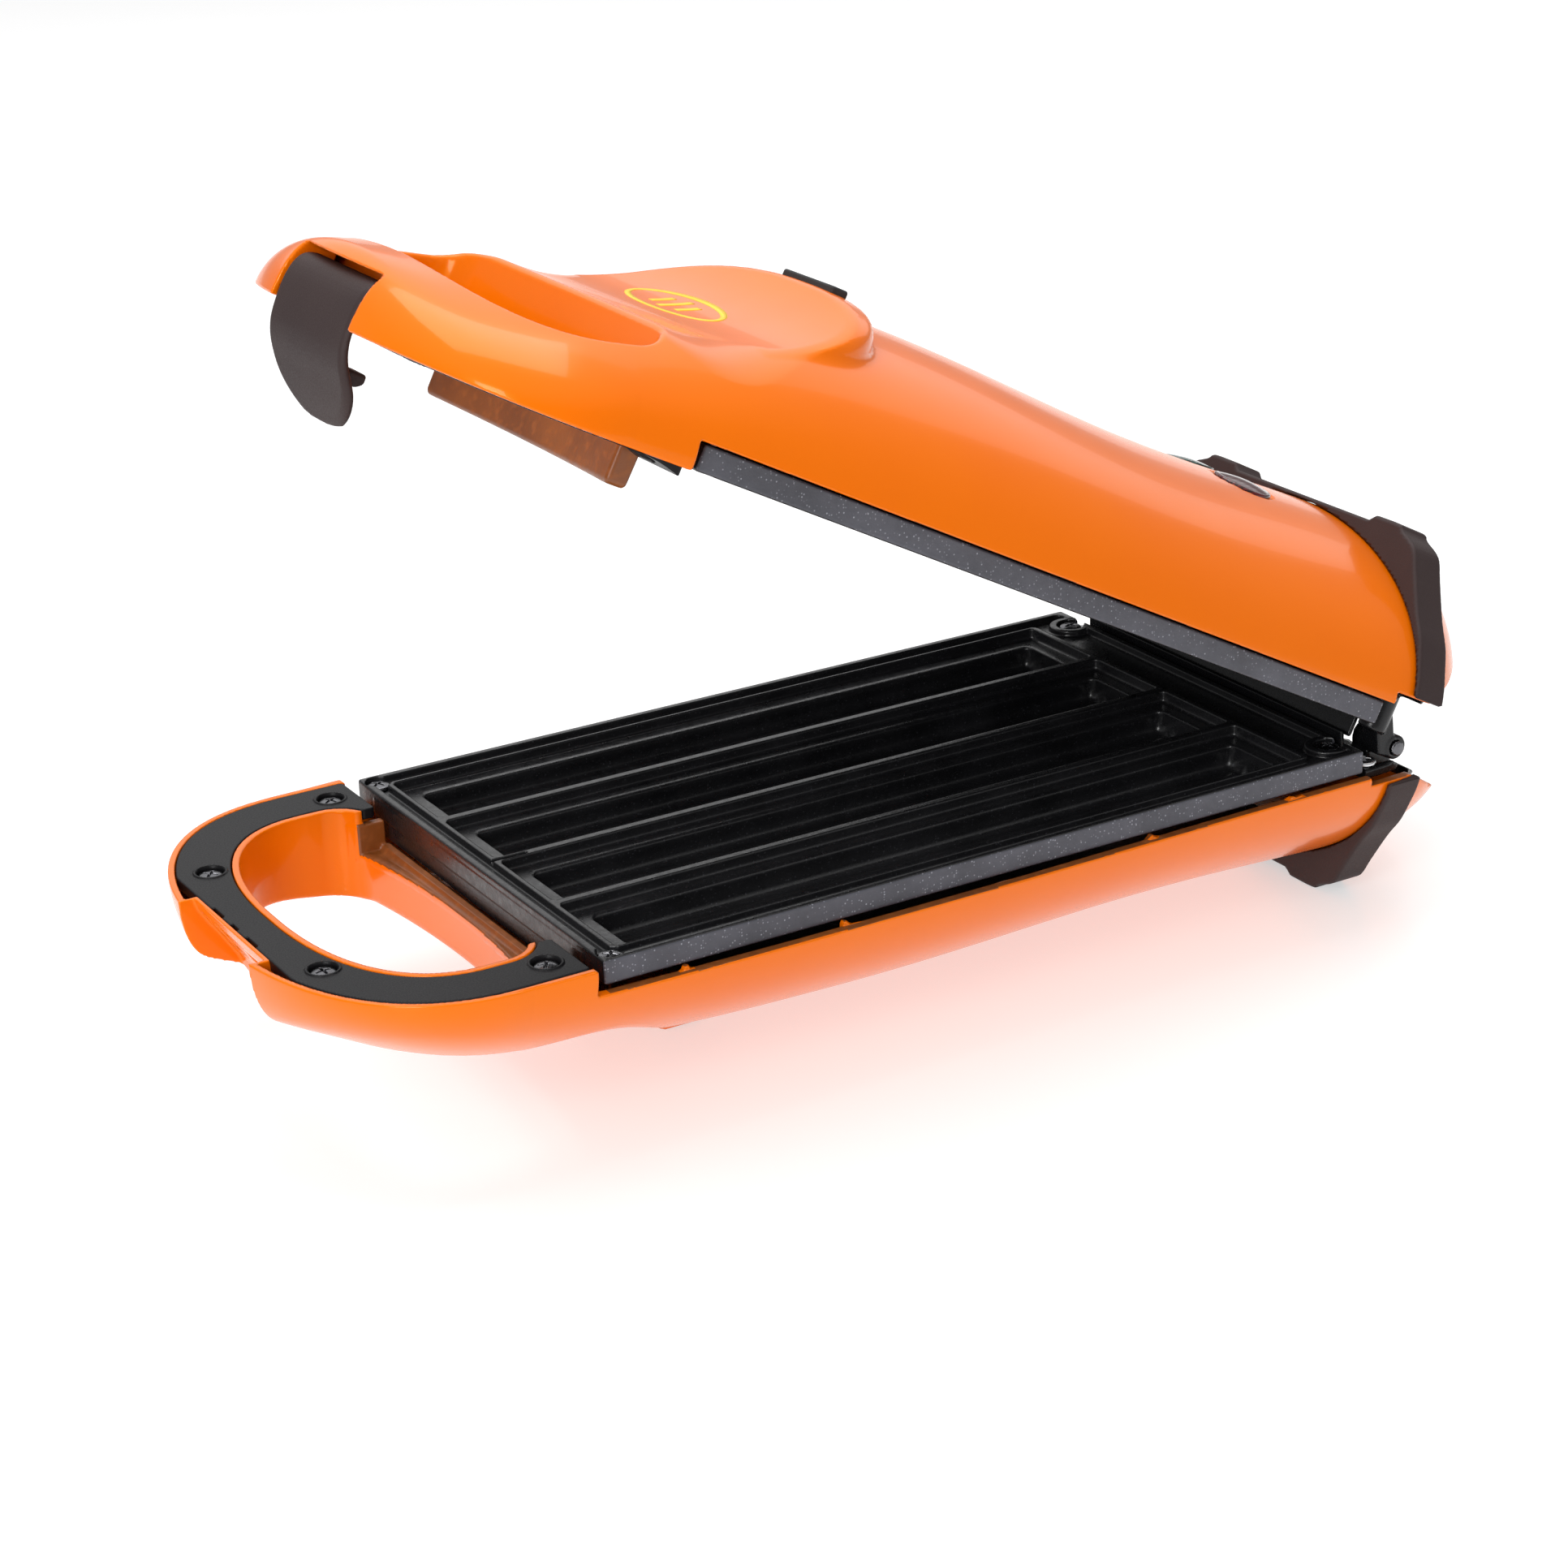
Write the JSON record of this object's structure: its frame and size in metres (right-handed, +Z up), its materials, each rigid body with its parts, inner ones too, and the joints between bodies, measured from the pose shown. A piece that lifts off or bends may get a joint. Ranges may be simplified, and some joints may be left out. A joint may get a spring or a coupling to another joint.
{
  "type": "churro maker",
  "caption": "Hinged countertop churro maker with fluted troughs, D-shaped finger grips, sprung tip latch and rear foot arches, standing part open.",
  "frame": {"origin": "centre of the underside of the front rubber foot, on the table", "axes": "+X from the handle towards the hinge, +Y to the far side, +Z up"},
  "size_m": [0.3666, 0.1484, 0.2142],
  "materials": {
    "orange_plastic": "high gloss painted or moulded orange",
    "black_plastic": "satin black",
    "brown_black_plastic": "fine matte brown-black",
    "non_stick_aluminium": "dark speckled non-stick coat on cast aluminium",
    "element_sheath": "dull oxidised steel",
    "sheet_aluminium": "plain mill sheet",
    "dark_steel": "blackened steel",
    "bright_steel": "bright zinc plated",
    "rubber": "matte rubber",
    "red_lens": "dark red translucent",
    "green_lens": "dark green translucent",
    "insulator": "unglazed ceramic"
  },
  "bodies": {
    "base": {"lower_housing": "orange_plastic", "lower_grip_insert": "black_plastic", "lower_grill_plate": "non_stick_aluminium", "lower_heating_element": "element_sheath", "lower_heat_shield": "sheet_aluminium", "lower_thermostat": "insulator", "lower_foot_arch": "brown_black_plastic", "lower_grip_screw_1": "dark_steel", "lower_plate_screw_1": "dark_steel", "lower_grip_screw_2": "dark_steel", "lower_plate_screw_2": "dark_steel", "lower_grip_screw_3": "dark_steel", "lower_plate_screw_3": "dark_steel", "lower_grip_screw_4": "dark_steel", "lower_plate_screw_4": "dark_steel", "front_foot_pad": "rubber", "hinge_block": "black_plastic", "hinge_screw_near": "bright_steel", "hinge_screw_far": "bright_steel", "terminal_block": "insulator", "cord_gland": "rubber", "hinge_pin_near": "dark_steel", "hinge_pin_far": "dark_steel"},
    "lid": {"upper_housing": "orange_plastic", "upper_grip_insert": "black_plastic", "upper_grill_plate": "non_stick_aluminium", "upper_heating_element": "element_sheath", "upper_heat_shield": "sheet_aluminium", "upper_thermostat": "insulator", "upper_foot_arch": "brown_black_plastic", "upper_grip_screw_1": "dark_steel", "upper_plate_screw_1": "dark_steel", "upper_grip_screw_2": "dark_steel", "upper_plate_screw_2": "dark_steel", "upper_grip_screw_3": "dark_steel", "upper_plate_screw_3": "dark_steel", "upper_grip_screw_4": "dark_steel", "upper_plate_screw_4": "dark_steel", "top_rest_pad": "rubber", "rear_cover": "black_plastic", "red_lamp_lens": "red_lens", "green_lamp_lens": "green_lens", "red_lamp": "red_lens", "green_lamp": "green_lens", "thermal_fuse": "insulator", "hinge_leg_near": "black_plastic", "hinge_leg_far": "black_plastic", "latch_pin": "bright_steel", "latch_spring": "bright_steel"},
    "latch": {"latch": "brown_black_plastic"}
  },
  "joints": [
    {"name": "lid_hinge", "type": "hinge", "parent": "base", "child": "lid", "pos_m": [0.1934, 0, 0.04866], "axis": [0, 1, 0], "range_deg": [-27.5, 47]},
    {"name": "latch_pivot", "type": "hinge", "parent": "lid", "child": "latch", "pos_m": [-0.07243, 0, 0.20455], "axis": [0, 1, 0], "range_deg": [0, 25], "stiffness_Nm_per_rad": 0.05, "springref_deg": -11.46}
  ]
}
